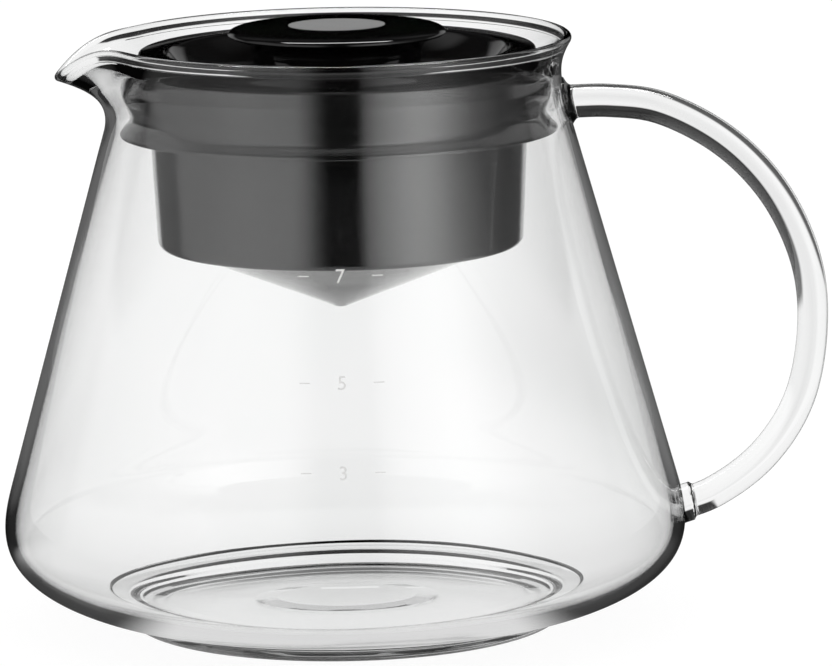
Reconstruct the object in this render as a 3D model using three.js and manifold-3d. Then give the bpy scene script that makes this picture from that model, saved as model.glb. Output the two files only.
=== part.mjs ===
// Glass cold brew carafe with a looped glass handle and a flow-through lid.
// Millimetres, +Z up. The handle points along +X and the spout along -X.
import * as THREE from 'three';
import { mergeVertices } from 'three/addons/utils/BufferGeometryUtils.js';
import Module from 'manifold-3d';

const wasm = await Module();
wasm.setup();

// Clearances
const FIT_GAP = 0.3; // between two pieces that touch each other
const SLIDE_GAP = 0.3; // between the valve stem and the sleeve that guides it
const PRESS_GAP = 0.5; // left under the knob when it is pressed right down
const OVERRUN = 1; // how far a cutting or joining solid runs past its face

// Facets
const BODY_SEGMENTS = 52;
const LID_SEGMENTS = 44;
const KNOB_SEGMENTS = 36;
const SLOT_STEPS = 7;
const WELD_SEGMENTS = 20;
const ROD_SIDES = 12;
const ROD_STEPS = 40;

// Blown glass body, standing on a pressed foot ring
const carafe = {
  height: 131.1,
  wall: 2.4,
  footRadius: 48.3,
  footWidth: 4.6,
  footRound: 0.9,
  footStep: 2.9,
  recess: 0.5,
  floor: 2.1,
  stepWall: 2.6,
  padRadius: 15.7,
  padFlank: 5.2,
  padRise: 0.7,
  keelRadius: 53.8,
  keelHeight: 3.7,
  keelAngle: THREE.MathUtils.degToRad(13.5),
  keelPull: 27.1,
  shoulderRadius: 74.3,
  shoulderHeight: 31.8,
  shoulderPull: 10.4,
  neckRadius: 51.7,
  neckDrop: 19.1,
  neckPull: 9.9,
  rimRadius: 51.8,
  rimPull: 5.75,
  rimFlare: THREE.MathUtils.degToRad(31.5),
};

// Pouring lip drawn out of the rim
const spout = {
  reach: 10.2,
  droop: 7.6,
  rootDrop: 23.1,
  halfAngle: THREE.MathUtils.degToRad(32.7),
  planPower: 1.85,
  droopPower: 3.5,
  reachPower: 2.3,
  fallPower: 1.3,
};

// Solid glass rod bent into a loop and welded to the neck and the shoulder
const handle = {
  rodRadius: 3.5,
  outermost: 104.9,
  topDrop: 15.8,
  bottom: 25,
  collarRadius: 5.9,
  collarDepth: 2.4,
  collarFillet: 3.6,
  padRadius: 4.8,
  padDepth: 2.2,
  padFillet: 2.8,
};

// Places along the loop: shares of the way from the line between the two welds to the outermost
// point, and shares of the height between the welds
const handlePathShares = [
  [-0.035, 1.003],
  [0.178, 1.004],
  [0.376, 0.985],
  [0.632, 0.897],
  [0.83, 0.769],
  [0.97, 0.598],
  [1, 0.432],
  [0.906, 0.247],
  [0.64, 0.11],
  [0.244, 0.021],
  [-0.059, -0.012],
];

// Moulded lid: a deep cup, a dished deck on top of it and a drip cone under it
const lid = {
  sink: 2.8,
  wall: 2,
  collarHeight: 14.7,
  sleeveSeatInset: 0.2,
  cupStep: 2.3,
  cupTaper: 1.1,
  cupDrop: 43.7,
  cupRound: 3.5,
  ledgeDepth: 1.5,
  ledgeThickness: 2,
};

const deck = {
  thickness: 1.6,
  flange: 1.4,
  rimRound: 0.5,
  rimWidth: 6,
  dishDepth: 6.9,
  dishRound: 3.6,
  dishSlope: 4.4,
  dishWall: 0.9,
  skirtDepth: 2.4,
  skirtWall: 1.5,
  seatRadius: 27,
  seatWidth: 1.2,
  seatHeight: 1,
  slotOffset: 2.1,
  slotInset: 0.9,
  slotCount: 6,
  spokeAngle: THREE.MathUtils.degToRad(14),
  guideWall: 1.9,
};

// Silicone sleeve around the lid's collar, with one flared sealing lip
const gasket = {
  wall: 2.8,
  topTaper: 0.9,
  pinch: 1,
  lip: 1.4,
  topDrop: 3.8,
  bellyShare: 0.51,
  pinchRise: 2.9,
  lipRise: 0.6,
  lipEdge: 0.9,
  footThickness: 1,
};

const cone = {
  wall: 1.5,
  height: 15,
  outletRadius: 1,
  flange: 1.6,
};

// Push knob that stands just proud of the rim
const knob = {
  stand: 2.5,
  radius: 24.2,
  landRadius: 10.8,
  crown: 0.35,
  edgeWidth: 3.5,
  edgeHeight: 1.5,
  lipHeight: 0.4,
  wall: 1.9,
  skirtRadius: 18.5,
  skirtWall: 1.7,
  neckFlare: 0.9,
  neckDrop: 3.6,
  bossWall: 1.8,
  bossHeight: 2,
};

const valve = {
  travel: 2.5,
  stemRadius: 2.8,
  plateInset: 1.2,
  plateThickness: 1.5,
  plateFillet: 2.2,
  sealOverlap: 0.7,
  sealThickness: 1.3,
  sealEdge: 0.4,
};

const spring = {
  wireRadius: 0.5,
  clearance: 1.1,
  turns: 5.5,
  stepsPerTurn: 12,
  sides: 6,
};

// A closed, indexed mesh with shared vertices and no empty triangles
function closedMesh(geometry) {
  const bare = geometry.clone();
  bare.deleteAttribute('normal');
  bare.deleteAttribute('uv');
  const merged = mergeVertices(bare);
  const index = merged.index.array;
  const kept = [];
  for (let i = 0; i < index.length; i += 3) {
    const [a, b, c] = [index[i], index[i + 1], index[i + 2]];
    if (a !== b && b !== c && c !== a) kept.push(a, b, c);
  }
  merged.setIndex(kept);
  return merged;
}

function toSolid(geometry) {
  const mesh = closedMesh(geometry);
  return new wasm.Manifold(new wasm.Mesh({
    numProp: 3,
    vertProperties: new Float32Array(mesh.attributes.position.array),
    triVerts: new Uint32Array(mesh.index.array),
  }));
}

function fromSolid(solid) {
  const mesh = solid.getMesh();
  const geometry = new THREE.BufferGeometry();
  geometry.setAttribute('position', new THREE.BufferAttribute(mesh.vertProperties, 3));
  geometry.setIndex(new THREE.BufferAttribute(mesh.triVerts, 1));
  return geometry;
}

// Turns an outline of (radius, height) points about +Z
function revolve(outline, segments) {
  const geometry = new THREE.LatheGeometry(outline, segments);
  geometry.rotateX(Math.PI / 2);
  return closedMesh(geometry);
}

function revolveRing(outline, segments) {
  return revolve([...outline, outline[0].clone()], segments);
}

const at = (radius, height) => new THREE.Vector2(radius, height);

function arcPoints(centreRadius, centreHeight, radius, from, to, steps) {
  const points = [];
  for (let i = 0; i <= steps; i += 1) {
    const angle = from + ((to - from) * i) / steps;
    points.push(at(centreRadius + radius * Math.cos(angle), centreHeight + radius * Math.sin(angle)));
  }
  return points;
}

// The outside of the glass, from the keel above the foot to the rim
function carafeOutline() {
  const shoulder = at(carafe.shoulderRadius, carafe.shoulderHeight);
  const neck = at(carafe.neckRadius, neckHeight);
  const up = neck.clone().sub(shoulder).normalize();
  const keel = at(carafe.keelRadius, carafe.keelHeight);
  const rim = at(carafe.rimRadius, rimEnd);
  const keelWay = at(Math.cos(carafe.keelAngle), Math.sin(carafe.keelAngle));
  const rimWay = at(Math.sin(carafe.rimFlare), Math.cos(carafe.rimFlare));
  return {
    shoulder: new THREE.CubicBezierCurve(
      keel,
      keel.clone().addScaledVector(keelWay, carafe.keelPull),
      shoulder.clone().addScaledVector(up, -carafe.shoulderPull),
      shoulder,
    ),
    cone: new THREE.LineCurve(shoulder, neck),
    neck: new THREE.CubicBezierCurve(
      neck,
      neck.clone().addScaledVector(up, carafe.neckPull),
      rim.clone().addScaledVector(rimWay, -carafe.rimPull),
      rim,
    ),
  };
}

const rimEnd = carafe.height - (carafe.wall / 2) * (1 + Math.sin(carafe.rimFlare));
const neckHeight = carafe.height - carafe.neckDrop;
const spoutRoot = carafe.height - spout.rootDrop;
const handleTop = carafe.height - handle.topDrop;
const outline = carafeOutline();

// Radius of the glass at a height, where there is no spout
function wallRadiusAt(height) {
  const curve = [outline.shoulder, outline.cone, outline.neck].find((part) => part.getPoint(1).y > height);
  let low = 0;
  let high = 1;
  for (let i = 0; i < 24; i += 1) {
    const middle = (low + high) / 2;
    if (curve.getPoint(middle).y < height) low = middle;
    else high = middle;
  }
  return curve.getPoint(low).x;
}

// Radius of the narrowest place that the lid's sleeve passes
function waistBore() {
  const places = outline.neck.getPoints(64);
  return Math.min(...places.map((place) => place.x)) - carafe.wall;
}

// Radii and heights that several pieces share
const bellyRadius = waistBore() - FIT_GAP;
const sleeveSeat = bellyRadius - gasket.wall - FIT_GAP;
const collarRadius = sleeveSeat + lid.sleeveSeatInset;
const cupRadius = collarRadius - lid.cupStep;
const cupBottomRadius = cupRadius - lid.cupTaper;
const mouthRadius = cupBottomRadius - lid.wall - lid.ledgeDepth;
const coneMouthRadius = mouthRadius - FIT_GAP;
const guideBore = valve.stemRadius + SLIDE_GAP;
const guideRadius = guideBore + deck.guideWall;
const coilRadius = guideRadius + spring.clearance + spring.wireRadius;
const seatInner = deck.seatRadius - deck.seatWidth / 2;
const seatOuter = deck.seatRadius + deck.seatWidth / 2;
const sealRadius = seatOuter + valve.sealOverlap;
const deckTop = carafe.height - lid.sink;
const cupTop = deckTop - deck.flange - FIT_GAP;
const collarFoot = cupTop - lid.collarHeight;
const cupBottom = deckTop - lid.cupDrop;
const ledgeTop = cupBottom + lid.ledgeThickness;
const deckFloor = deckTop - deck.dishDepth;
const deckUnderside = deckFloor - deck.thickness;
const knobTop = carafe.height + knob.stand;
const knobCeiling = knobTop - knob.wall;
const skirtFoot = deckFloor + valve.travel + PRESS_GAP;
const guideTop = knobCeiling - knob.bossHeight - valve.travel - PRESS_GAP;
const sealTop = deckUnderside - deck.seatHeight - FIT_GAP;
const plateTop = sealTop - valve.sealThickness - FIT_GAP;

// How far the spout moves the glass at this height and angle from -X
function spoutShift(height, angle) {
  const rise = THREE.MathUtils.clamp((height - spoutRoot) / (rimEnd - spoutRoot), 0, 1);
  const off = Math.abs(angle);
  const bump = off < spout.halfAngle ? 0.5 + 0.5 * Math.cos((Math.PI * off) / spout.halfAngle) : 0;
  return {
    outward: spout.reach * bump ** spout.planPower * rise ** spout.reachPower,
    down: spout.droop * bump ** spout.droopPower * rise ** spout.fallPower,
  };
}

function outerPoint(point, direction) {
  const fromSpout = Math.atan2(Math.sin(direction - Math.PI), Math.cos(direction - Math.PI));
  const shift = spoutShift(point.y, fromSpout);
  const radius = point.x + shift.outward;
  return new THREE.Vector3(
    radius * Math.cos(direction),
    radius * Math.sin(direction),
    point.y - shift.down,
  );
}

// A place on the glass wall: on the outer face, moved along its normal and its upward tangent
function wallPoint(curve, share, direction, along, upward) {
  const nearbyShare = 0.001;
  const place = (aside, turned) => outerPoint(
    curve.getPoint(THREE.MathUtils.clamp(share + aside, 0, 1)),
    direction + turned,
  );
  const centre = place(0, 0);
  const tangent = place(nearbyShare, 0).sub(place(-nearbyShare, 0)).normalize();
  const turn = place(0, nearbyShare).sub(place(0, -nearbyShare));
  const normal = turn.cross(tangent).normalize();
  return centre.addScaledVector(normal, along).addScaledVector(tangent, upward);
}

// Stations round the section of the glass, from the axis under the floor to the axis on top of it
function carafeStations() {
  const stations = [];
  const fixed = (radius, height) => stations.push({ radius, height });
  const wall = (curve, share, along, upward = 0) => stations.push({ curve, share, along, upward });
  const footInner = carafe.footRadius - carafe.footWidth;
  fixed(0, carafe.recess);
  fixed(footInner, carafe.recess);
  fixed(footInner + carafe.footRound, 0);
  fixed(carafe.footRadius - carafe.footRound, 0);
  fixed(carafe.footRadius, carafe.footRound);
  fixed(carafe.footRadius + carafe.footRound / 2, carafe.footStep);
  const evenShares = (count) => Array.from({ length: count }, (_, i) => i / (count - 1));
  const shoulderShares = evenShares(9);
  const coneShares = [0.5, 0.93];
  const neckShares = evenShares(7);
  shoulderShares.forEach((share) => wall(outline.shoulder, share, 0));
  coneShares.forEach((share) => wall(outline.cone, share, 0));
  neckShares.forEach((share) => wall(outline.neck, share, 0));
  const beadSteps = 5;
  for (let i = 1; i < beadSteps; i += 1) {
    const angle = (Math.PI * i) / beadSteps;
    const along = (carafe.wall / 2) * (Math.cos(angle) - 1);
    wall(outline.neck, 1, along, (carafe.wall / 2) * Math.sin(angle));
  }
  [...neckShares].reverse().forEach((share) => wall(outline.neck, share, -carafe.wall));
  [...coneShares].reverse().forEach((share) => wall(outline.cone, share, -carafe.wall));
  [...shoulderShares].reverse().forEach((share) => wall(outline.shoulder, share, -carafe.wall));
  const floorTop = carafe.recess + carafe.floor;
  const stepInner = carafe.footRadius - carafe.stepWall;
  fixed(stepInner + carafe.footRound, carafe.footStep + carafe.wall);
  fixed(stepInner - carafe.footRound, floorTop);
  fixed(carafe.padRadius + carafe.padFlank, floorTop);
  fixed(carafe.padRadius, floorTop + carafe.padRise);
  fixed(0, floorTop + carafe.padRise);
  return stations;
}

// A lathe's grid of vertices, each one then moved to its place on the drawn-out wall
function glassBody() {
  const stations = carafeStations();
  const geometry = new THREE.LatheGeometry(stations.map(() => at(0, 0)), BODY_SEGMENTS);
  const position = geometry.attributes.position;
  for (let i = 0; i <= BODY_SEGMENTS; i += 1) {
    const direction = (2 * Math.PI * (i % BODY_SEGMENTS)) / BODY_SEGMENTS - Math.PI / 2;
    stations.forEach((station, j) => {
      const spot = station.curve
        ? wallPoint(station.curve, station.share, direction, station.along, station.upward)
        : new THREE.Vector3(
          station.radius * Math.cos(direction),
          station.radius * Math.sin(direction),
          station.height,
        );
      position.setXYZ(i * stations.length + j, spot.x, spot.y, spot.z);
    });
  }
  return closedMesh(geometry);
}

// The space that the glass fills, grown by the fit gap, to trim what is welded to it
function carafeEnvelope() {
  const points = [at(0, carafe.keelHeight)];
  const edge = (curve, count, first) => {
    for (let i = first; i <= count; i += 1) {
      const spot = wallPoint(curve, i / count, 0, FIT_GAP, 0);
      points.push(at(spot.x, spot.z));
    }
  };
  edge(outline.shoulder, 24, 0);
  edge(outline.cone, 1, 1);
  edge(outline.neck, 12, 1);
  points.push(at(0, points[points.length - 1].y));
  return revolve(points, BODY_SEGMENTS);
}

// A welded end: a flat collar whose rounded shoulder runs into the rod, along +X from its own origin
function weldCollar(radius, depth, fillet) {
  const points = [at(0, -handle.padRadius), at(radius, -handle.padRadius), at(radius, depth)];
  const start = at(radius, depth);
  const end = at(handle.rodRadius, depth + fillet);
  const bend = new THREE.QuadraticBezierCurve(start, at(handle.rodRadius, depth), end);
  points.push(...bend.getPoints(4).slice(1));
  points.push(at(0, depth + fillet));
  const geometry = new THREE.LatheGeometry(points, WELD_SEGMENTS);
  geometry.rotateZ(-Math.PI / 2);
  return geometry;
}

function handlePath() {
  const topWeld = wallRadiusAt(handleTop);
  const bottomWeld = wallRadiusAt(handle.bottom);
  const drop = handleTop - handle.bottom;
  const points = handlePathShares.map(([across, up]) => {
    const weldLine = bottomWeld + (topWeld - bottomWeld) * up;
    const x = weldLine + across * (handle.outermost - weldLine);
    return new THREE.Vector3(x, 0, handle.bottom + up * drop);
  });
  return new THREE.CatmullRomCurve3(points, false, 'centripetal');
}

function weldAt(path, share, reversed, collar, surfaceRadius) {
  const spot = path.getPointAt(share);
  const way = path.getTangentAt(share).multiplyScalar(reversed ? -1 : 1);
  const tilt = Math.atan2(-way.z, way.x);
  collar.rotateY(tilt);
  const slide = (surfaceRadius - spot.x) / way.x;
  collar.translate(surfaceRadius, 0, spot.z + way.z * slide);
  return collar;
}

function glassHandle() {
  const path = handlePath();
  const section = new THREE.Shape();
  section.absarc(0, 0, handle.rodRadius, 0, 2 * Math.PI);
  const rod = new THREE.ExtrudeGeometry(section, {
    extrudePath: path,
    steps: ROD_STEPS,
    curveSegments: ROD_SIDES / 2,
  });
  const collar = weldCollar(handle.collarRadius, handle.collarDepth, handle.collarFillet);
  const pad = weldCollar(handle.padRadius, handle.padDepth, handle.padFillet);
  const solid = toSolid(rod)
    .add(toSolid(weldAt(path, 0, false, collar, wallRadiusAt(handleTop))))
    .add(toSolid(weldAt(path, 1, true, pad, wallRadiusAt(handle.bottom))))
    .subtract(toSolid(carafeEnvelope()));
  return fromSolid(solid);
}

function lidCup() {
  const round = Math.min(lid.cupRound, cupBottomRadius - mouthRadius);
  const corner = arcPoints(cupBottomRadius - round, cupBottom + round, round, -Math.PI / 2, 0, 5);
  const inner = cupBottomRadius - lid.wall;
  const sleeveTop = deckTop - gasket.topDrop + FIT_GAP;
  return revolveRing([
    ...corner,
    at(cupRadius, collarFoot - FIT_GAP),
    at(cupRadius + FIT_GAP, collarFoot),
    at(sleeveSeat, collarFoot),
    at(sleeveSeat, sleeveTop),
    at(collarRadius, sleeveTop + lid.sleeveSeatInset),
    at(collarRadius, cupTop),
    at(collarRadius - lid.wall, cupTop),
    at(collarRadius - lid.wall, collarFoot + lid.wall / 2),
    at(cupRadius - lid.wall, collarFoot - lid.wall / 2),
    at(inner, ledgeTop),
    at(mouthRadius, ledgeTop),
  ], LID_SEGMENTS);
}

// One of the flow slots around the knob, between the spokes that carry its guide
function flowSlot(turn) {
  const half = Math.PI / deck.slotCount - deck.spokeAngle / 2;
  const shape = new THREE.Shape();
  shape.absarc(0, 0, seatInner - deck.slotInset, turn - half, turn + half, false);
  shape.absarc(0, 0, knob.skirtRadius + deck.slotOffset, turn + half, turn - half, true);
  const height = deck.thickness + 2 * OVERRUN;
  const geometry = new THREE.ExtrudeGeometry(shape, {
    depth: height,
    bevelEnabled: false,
    curveSegments: SLOT_STEPS,
  });
  geometry.translate(0, 0, deckUnderside - OVERRUN);
  return geometry;
}

function lidDeck() {
  const skirt = collarRadius - lid.wall - FIT_GAP;
  const rimInner = collarRadius - deck.rimWidth;
  const dishRadius = rimInner - deck.dishSlope;
  const flangeFoot = deckTop - deck.flange;
  const bowl = new THREE.QuadraticBezierCurve(
    at(rimInner - deck.rimRound, deckTop - deck.rimRound),
    at(dishRadius, deckFloor),
    at(dishRadius - deck.dishRound, deckFloor),
  );
  const plate = revolveRing([
    at(guideBore, deckUnderside),
    at(seatInner, deckUnderside),
    at(seatInner, deckUnderside - deck.seatHeight),
    at(seatOuter, deckUnderside - deck.seatHeight),
    at(seatOuter, deckUnderside),
    at(dishRadius, deckUnderside),
    at(rimInner + deck.dishWall, flangeFoot),
    at(skirt - deck.skirtWall, flangeFoot),
    at(skirt - deck.skirtWall, flangeFoot - deck.skirtDepth),
    at(skirt, flangeFoot - deck.skirtDepth),
    at(skirt, flangeFoot),
    at(collarRadius, flangeFoot),
    at(collarRadius, deckTop - deck.rimRound),
    at(collarRadius - deck.rimRound, deckTop),
    at(rimInner, deckTop),
    ...bowl.getPoints(5),
    at(guideRadius, deckFloor),
    at(guideRadius, guideTop),
    at(guideBore, guideTop),
  ], LID_SEGMENTS);
  let solid = toSolid(plate);
  for (let i = 0; i < deck.slotCount; i += 1) {
    const turn = (2 * Math.PI * (i + 0.5)) / deck.slotCount;
    solid = solid.subtract(toSolid(flowSlot(turn)));
  }
  return fromSolid(solid);
}

function neckGasket() {
  const bore = sleeveSeat + FIT_GAP;
  const footBore = cupRadius + FIT_GAP;
  const top = deckTop - gasket.topDrop;
  const footTop = collarFoot - FIT_GAP;
  const footBottom = footTop - gasket.footThickness;
  const tipHeight = footBottom + gasket.lipRise;
  const pinchHeight = tipHeight + gasket.pinchRise;
  const bellyHeight = pinchHeight + gasket.bellyShare * (top - pinchHeight);
  const side = new THREE.SplineCurve([
    at(bellyRadius + gasket.lip, tipHeight),
    at(bellyRadius - gasket.pinch, pinchHeight),
    at(bellyRadius, bellyHeight),
    at(bellyRadius - gasket.topTaper, top),
  ]);
  return revolveRing([
    at(footBore, footBottom),
    at(bellyRadius - gasket.pinch, footBottom),
    at(bellyRadius + gasket.lip, tipHeight - gasket.lipEdge),
    ...side.getPoints(8),
    at(bore, top),
    at(bore, footTop),
    at(footBore, footTop),
  ], LID_SEGMENTS);
}

// Hangs by its flange from the ledge inside the cup and drips through the hole at its point
function dripCone() {
  const mouthHeight = cupBottom + FIT_GAP;
  const apex = mouthHeight - cone.height;
  const slope = cone.height / coneMouthRadius;
  const flangeFoot = ledgeTop + FIT_GAP;
  const flangeTop = flangeFoot + cone.flange;
  const flangeRadius = cupBottomRadius - lid.wall - FIT_GAP;
  const inner = coneMouthRadius - cone.wall;
  const wallRise = cone.wall * Math.hypot(1, slope);
  return revolveRing([
    at(cone.outletRadius, apex + cone.outletRadius * slope),
    at(coneMouthRadius, mouthHeight),
    at(coneMouthRadius, flangeFoot),
    at(flangeRadius, flangeFoot),
    at(flangeRadius, flangeTop),
    at(inner, flangeTop),
    at(inner, apex + inner * slope + wallRise),
    at(cone.outletRadius, apex + cone.outletRadius * slope + wallRise),
  ], LID_SEGMENTS);
}

function knobCap() {
  const socket = valve.stemRadius + FIT_GAP;
  const boss = socket + knob.bossWall;
  const skirtInner = knob.skirtRadius - knob.skirtWall;
  const shoulder = knobTop - knob.crown;
  const brim = shoulder - knob.edgeHeight;
  const edge = new THREE.EllipseCurve(
    knob.radius - knob.edgeWidth,
    brim,
    knob.edgeWidth,
    knob.edgeHeight,
    0,
    Math.PI / 2,
  );
  const flank = new THREE.CubicBezierCurve(
    at(knob.skirtRadius, skirtFoot),
    at(knob.skirtRadius, knobTop - knob.neckDrop),
    at(knob.skirtRadius + knob.neckFlare, knobTop - knob.neckDrop),
    at(knob.radius - knob.lipHeight, brim - knob.lipHeight),
  );
  return revolve([
    at(0, knobCeiling),
    at(socket, knobCeiling),
    at(socket, knobCeiling - knob.bossHeight),
    at(boss, knobCeiling - knob.bossHeight),
    at(boss, knobCeiling),
    at(skirtInner, knobCeiling),
    at(skirtInner, skirtFoot),
    ...flank.getPoints(5),
    ...edge.getPoints(6),
    at(knob.landRadius, knobTop),
    at(0, knobTop),
  ], KNOB_SEGMENTS);
}

// Stem and valve plate in one moulding, drawn up against the deck by the spring
function valveStem() {
  const top = knobCeiling - FIT_GAP;
  const foot = plateTop - valve.plateThickness;
  const plateRadius = sealRadius - valve.plateInset;
  return revolve([
    at(0, foot - valve.plateFillet),
    at(valve.stemRadius, foot - valve.plateFillet),
    at(valve.stemRadius + valve.plateFillet, foot),
    at(plateRadius, foot),
    at(plateRadius, plateTop),
    at(valve.stemRadius, plateTop),
    at(valve.stemRadius, top),
    at(0, top),
  ], KNOB_SEGMENTS);
}

function valveSeal() {
  const bore = valve.stemRadius + FIT_GAP;
  const foot = sealTop - valve.sealThickness;
  return revolveRing([
    at(bore, foot),
    at(sealRadius - valve.sealEdge, foot),
    at(sealRadius, foot + valve.sealEdge),
    at(sealRadius, sealTop - valve.sealEdge),
    at(sealRadius - valve.sealEdge, sealTop),
    at(bore, sealTop),
  ], KNOB_SEGMENTS);
}

class Helix extends THREE.Curve {
  constructor(radius, foot, height, turns) {
    super();
    Object.assign(this, { radius, foot, height, turns });
  }

  getPoint(share, target = new THREE.Vector3()) {
    const angle = 2 * Math.PI * this.turns * share;
    return target.set(
      this.radius * Math.cos(angle),
      this.radius * Math.sin(angle),
      this.foot + this.height * share,
    );
  }
}

function pressSpring() {
  const foot = deckFloor + FIT_GAP + spring.wireRadius;
  const height = knobCeiling - FIT_GAP - spring.wireRadius - foot;
  const wire = new Helix(coilRadius, foot, height, spring.turns);
  const section = new THREE.Shape();
  section.absarc(0, 0, spring.wireRadius, 0, 2 * Math.PI);
  const turnGap = height / spring.turns - 2 * spring.wireRadius;
  console.log('spring: least gap between turns in mm', turnGap.toFixed(2));
  return new THREE.ExtrudeGeometry(section, {
    extrudePath: wire,
    steps: Math.round(spring.turns * spring.stepsPerTurn),
    curveSegments: spring.sides / 2,
  });
}

const glassLook = { color: 0xe8eeec, roughness: 0.02, metalness: 0, transparent: true, opacity: 0.35 };
const glossBlack = { color: 0x0d0c0d, roughness: 0.16, metalness: 0 };
const siliconeBlack = { color: 0x161516, roughness: 0.5, metalness: 0 };
const smokeClear = { color: 0x4a4b49, roughness: 0.08, metalness: 0, transparent: true, opacity: 0.5 };
const springSteel = { color: 0xb9bbbe, roughness: 0.3, metalness: 1 };

function piece(name, geometry, look) {
  const mesh = new THREE.Mesh(geometry, new THREE.MeshStandardMaterial(look));
  mesh.name = name;
  return mesh;
}

const glassware = new THREE.Group();
glassware.add(piece('glass_body', glassBody(), glassLook));
glassware.add(piece('glass_handle', glassHandle(), glassLook));

const lidAssembly = new THREE.Group();
lidAssembly.add(piece('lid_cup', lidCup(), glossBlack));
lidAssembly.add(piece('lid_deck', lidDeck(), glossBlack));
lidAssembly.add(piece('neck_gasket', neckGasket(), siliconeBlack));
lidAssembly.add(piece('drip_cone', dripCone(), smokeClear));
lidAssembly.add(piece('press_spring', pressSpring(), springSteel));

const valveAssembly = new THREE.Group();
valveAssembly.add(piece('knob_cap', knobCap(), glossBlack));
valveAssembly.add(piece('valve_stem', valveStem(), glossBlack));
valveAssembly.add(piece('valve_seal', valveSeal(), siliconeBlack));

// The whole carafe stands with the middle of its outline, from spout to handle, over the origin
const model = new THREE.Group();
model.add(glassware, lidAssembly, valveAssembly);
const extent = new THREE.Box3().setFromObject(model, true);
model.position.x = -(extent.min.x + extent.max.x) / 2;
model.updateMatrixWorld(true);

export default model;
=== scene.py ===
import math

import bmesh
import bpy
import numpy as np
from mathutils import Matrix, Vector


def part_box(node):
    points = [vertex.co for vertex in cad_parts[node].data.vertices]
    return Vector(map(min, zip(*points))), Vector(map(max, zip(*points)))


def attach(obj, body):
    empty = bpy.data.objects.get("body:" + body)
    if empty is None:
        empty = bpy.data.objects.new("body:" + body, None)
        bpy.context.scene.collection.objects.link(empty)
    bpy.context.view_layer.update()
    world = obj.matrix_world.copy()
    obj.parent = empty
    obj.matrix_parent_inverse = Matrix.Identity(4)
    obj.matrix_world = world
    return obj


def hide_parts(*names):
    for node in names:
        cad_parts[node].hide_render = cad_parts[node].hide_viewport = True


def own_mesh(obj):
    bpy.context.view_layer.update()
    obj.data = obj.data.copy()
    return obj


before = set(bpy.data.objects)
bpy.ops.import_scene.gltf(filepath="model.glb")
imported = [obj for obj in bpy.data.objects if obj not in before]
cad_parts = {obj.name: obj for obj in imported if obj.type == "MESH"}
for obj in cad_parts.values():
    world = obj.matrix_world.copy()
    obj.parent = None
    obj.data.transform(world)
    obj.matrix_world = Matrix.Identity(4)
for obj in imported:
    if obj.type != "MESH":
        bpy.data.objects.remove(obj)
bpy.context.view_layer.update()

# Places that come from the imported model, in metres
cup_low, cup_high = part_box("lid_cup")
sleeve_low, sleeve_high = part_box("neck_gasket")
knob_low, knob_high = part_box("knob_cap")
stem_low, stem_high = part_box("valve_stem")
seal_low, seal_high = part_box("valve_seal")
coil_low, coil_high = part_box("press_spring")
AXIS_X = (cup_low.x + cup_high.x) / 2
COLLAR_RADIUS = cup_high.y
CUP_TOP = cup_high.z
CUP_BOTTOM = cup_low.z
DECK_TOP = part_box("lid_deck")[1].z
KNOB_TOP = knob_high.z

# Camera, fitted to the foot, rim and marks of the photograph
CAMERA_X = 0.00024
VIEW_DISTANCE = 1.5
VIEW_PITCH = math.radians(9.93)
VIEW_ROLL = math.radians(0.92)
VIEW_HEIGHT = 0.06404
VIEW_LENS = 291.05
VIEW_CLIP = (0.01, 50)
SENSOR = 36.0

# Rounds of corners, from sharp to soft
SHARP = 0
HAIR = 0.00005
FAINT = 0.0001
FINE = 0.0002
CRISP = 0.0003
BLUNT = 0.0004
SMALL = 0.0005
EASY = 0.0006
FULL = 0.0008
SOFT = 0.001

# How a corner is rounded, and angles in degrees above which an edge is shaded as sharp
STRAIGHT = math.radians(179)
SIDE_SHARE = 0.49
ARC_STEP = math.radians(12)
ON_AXIS = 1e-7
EDGE_ANGLE = 35
ROUND_ANGLE = 60
GLASS_ANGLE = 40
KNOB_ANGLE = 30

# Vessel: wall and rim
GLASS_SEGMENTS = 320
CURVE_STEPS = {"shoulder": 56, "cone": 28, "neck": 44}
RIM_HEIGHT = 0.1311
WALL = 0.0024
KEEL = (0.0538, 0.0037)
KEEL_ANGLE = math.radians(13.5)
KEEL_PULL = 0.0271
SHOULDER = (0.0743, 0.0318)
SHOULDER_PULL = 0.0104
NECK = (0.0517, RIM_HEIGHT - 0.0191)
NECK_PULL = 0.0099
RIM_RADIUS = 0.0518
RIM_PULL = 0.00575
RIM_SPEED = 3 * RIM_PULL
RIM_FLARE = math.radians(31.5)
RIM_BEAD = 0.00095
RIM_END = RIM_HEIGHT - RIM_BEAD * (1 + math.sin(RIM_FLARE))
LIP_TURN = math.radians(45)
LIP_WAIST = 0.00105
LIP_DEPTH = 0.002
LIP_SHARE = 0.5
LIP_THINNING = 1.5
LIP_PULL = 0.0003
LIP_BEAD_STEPS = 22
LIP_FLANK_STEPS = 12

# Unevenness of the blown wall: waves round the carafe, waves up it, share and start of each
WAVE_DEPTH = 0.00007
WAVES = [(3, 5, 1, 0), (5, -9, 0.6, 1.3)]

# Vessel: foot and floor, with corners as (radius, height, round)
FOOT_RADIUS = 0.0483
FOOT_WIDTH = 0.0046
FOOT_ROUND = 0.0009
FOOT_EDGE_ROUND = FOOT_ROUND * 1.5
FOOT_STEP = 0.0029
KEEL_ROUND = 0.0014
RECESS = 0.0005
RECESS_EDGE = 0.0405
RECESS_ROUND = 0.01
FLOOR_TOP = RECESS + 0.0021
RIDGE = (0.0534, 0.00605, 0.0004)
GROOVE = (0.0529, 0.0055, 0.0006)
STEP_TOP = (0.0492, 0.0045, 0.008)
STEP_FOOT = (0.045, FLOOR_TOP, 0.006)
PAD_TOP = FLOOR_TOP + 0.0007
PAD_FOOT = (0.0209, FLOOR_TOP, 0.008)
PAD_EDGE = (0.0157, PAD_TOP, 0.004)

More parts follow.
